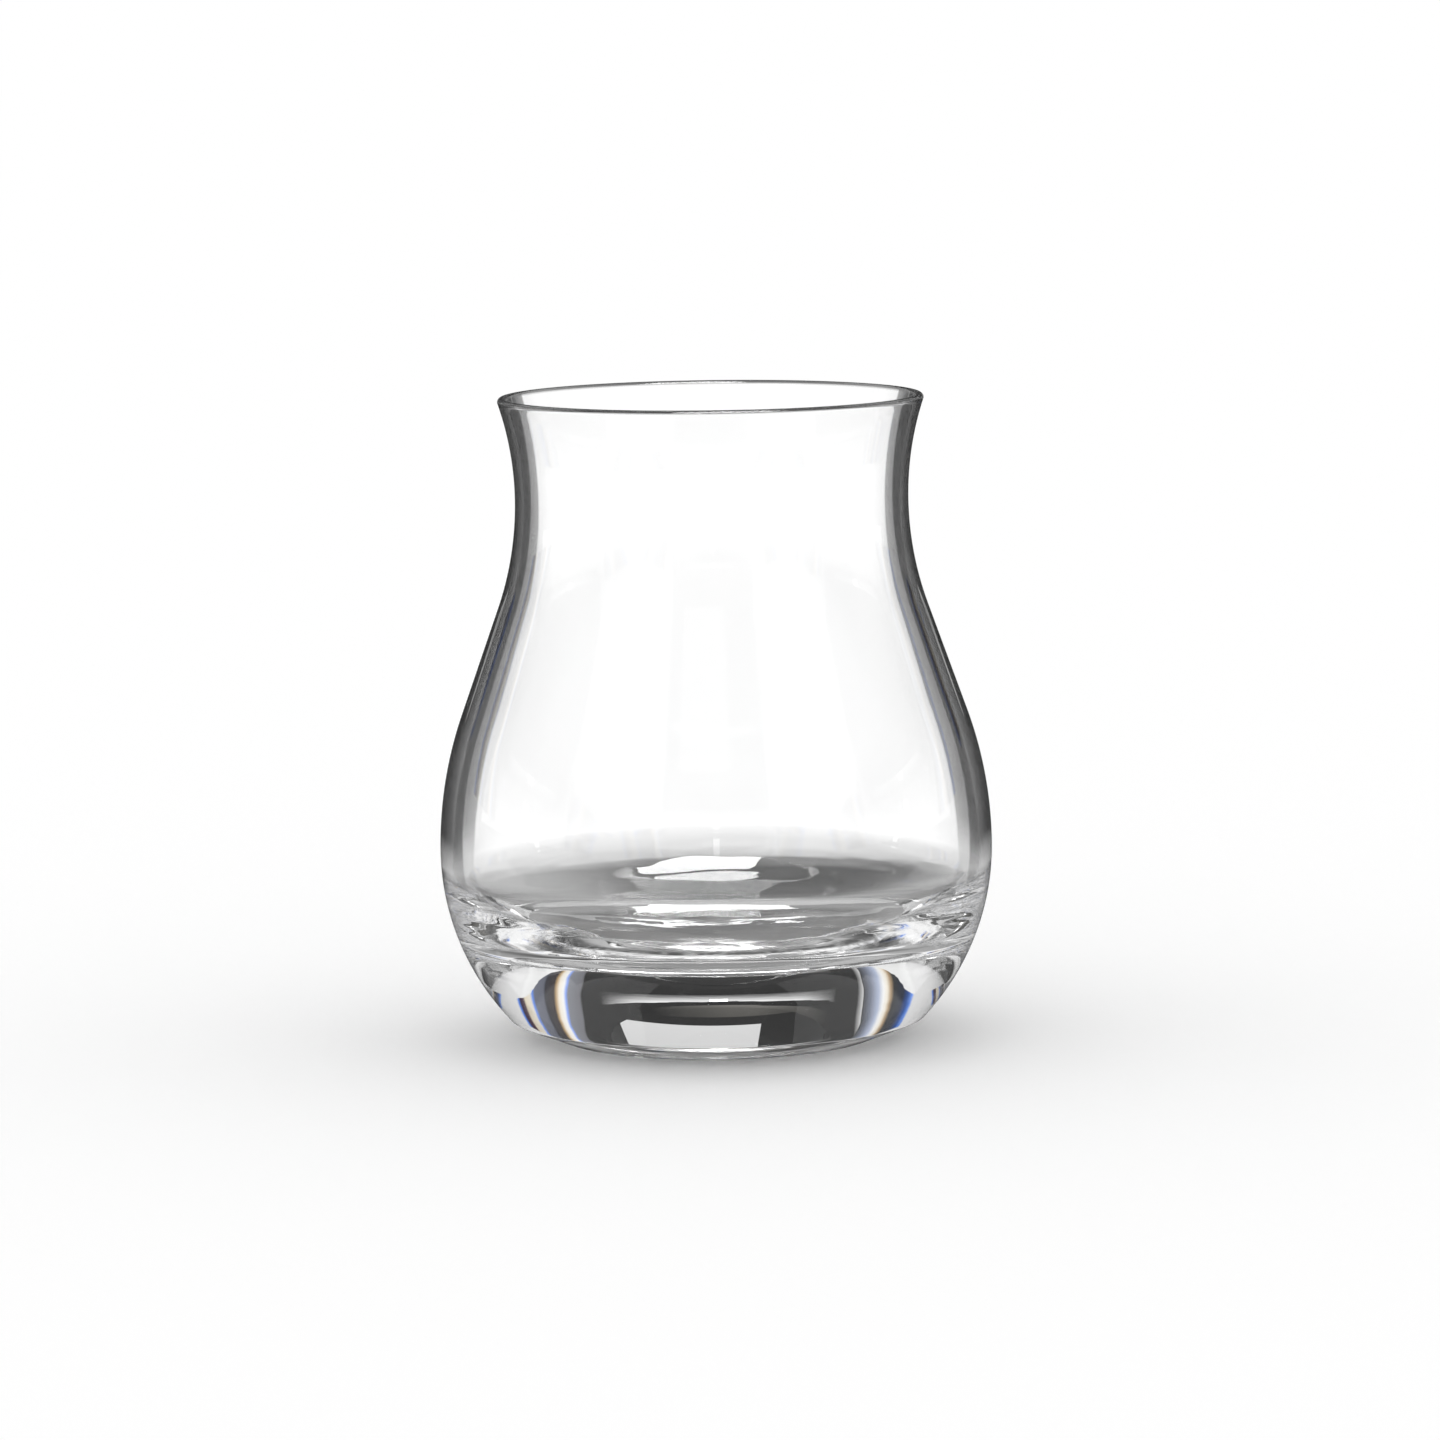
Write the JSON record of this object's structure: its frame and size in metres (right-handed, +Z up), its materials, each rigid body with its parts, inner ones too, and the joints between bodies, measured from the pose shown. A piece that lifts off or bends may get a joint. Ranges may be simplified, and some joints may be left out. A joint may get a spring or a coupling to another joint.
{
  "type": "whisky tumbler",
  "caption": "Clear glass whisky tumbler with a flared lip, a drawn-in waist, a round belly and a heavy solid base.",
  "frame": {"origin": "centre of the bearing ring, on the surface the tumbler stands on", "axes": "+Z up along the tumbler's axis of rotation; X and Y are any two square directions, as the shape is round"},
  "size_m": [0.086, 0.086, 0.1],
  "materials": {
    "clear_glass": "polished, clear, colourless"
  },
  "bodies": {
    "root": {"rim": "clear_glass", "waist": "clear_glass", "bowl": "clear_glass", "base": "clear_glass"}
  },
  "joints": []
}
